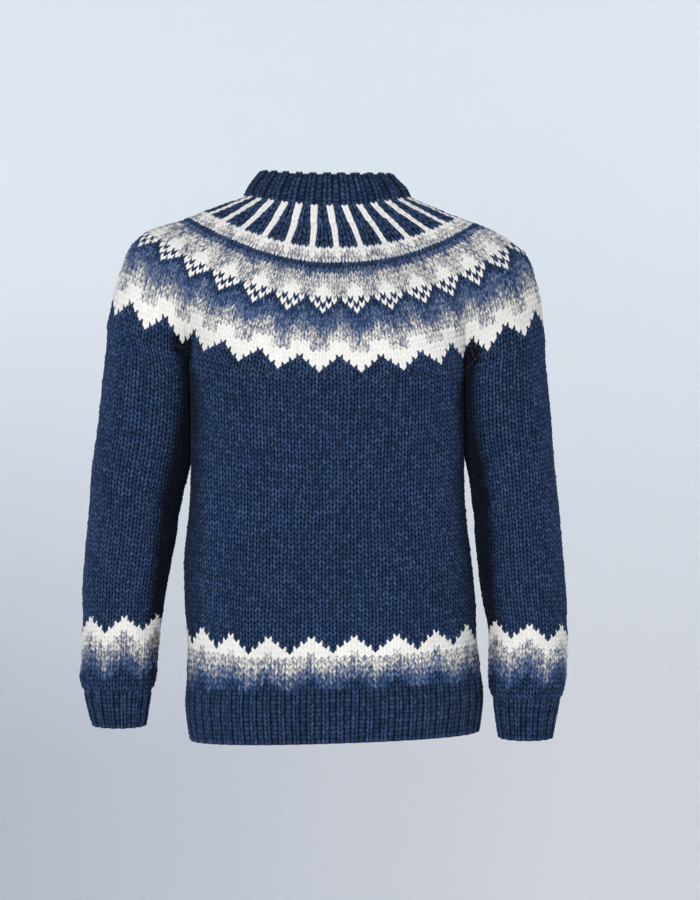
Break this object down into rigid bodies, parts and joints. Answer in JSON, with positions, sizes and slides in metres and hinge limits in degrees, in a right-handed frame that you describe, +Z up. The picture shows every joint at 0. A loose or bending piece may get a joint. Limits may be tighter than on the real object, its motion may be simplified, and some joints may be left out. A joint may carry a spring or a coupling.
{
  "type": "nordic yoke sweater",
  "caption": "Hand-knitted wool pullover with a round patterned yoke, long sleeves, and ribbed hem, cuffs and neckband, filled out and hollow.",
  "frame": {"origin": "middle of the neck, level with the foot of the neckband at the front, where the wearer's shoulders hold the sweater up", "axes": "+Z up through the neck opening, -Y out of the front, +X towards the wearer's left sleeve"},
  "size_m": [0.5559, 0.2074, 0.6591],
  "materials": {
    "body_wool": "matte knitted wool",
    "hem_rib_wool": "matte knitted wool",
    "sleeve_left_wool": "matte knitted wool",
    "sleeve_right_wool": "matte knitted wool",
    "cuff_left_wool": "matte knitted wool",
    "cuff_right_wool": "matte knitted wool",
    "yoke_wool": "matte knitted wool",
    "neckband_wool": "matte knitted wool"
  },
  "bodies": {
    "root": {"body": "body_wool", "hem_rib": "hem_rib_wool", "sleeve_left": "sleeve_left_wool", "sleeve_right": "sleeve_right_wool", "cuff_left": "cuff_left_wool", "cuff_right": "cuff_right_wool", "yoke": "yoke_wool", "neckband": "neckband_wool"}
  },
  "joints": []
}
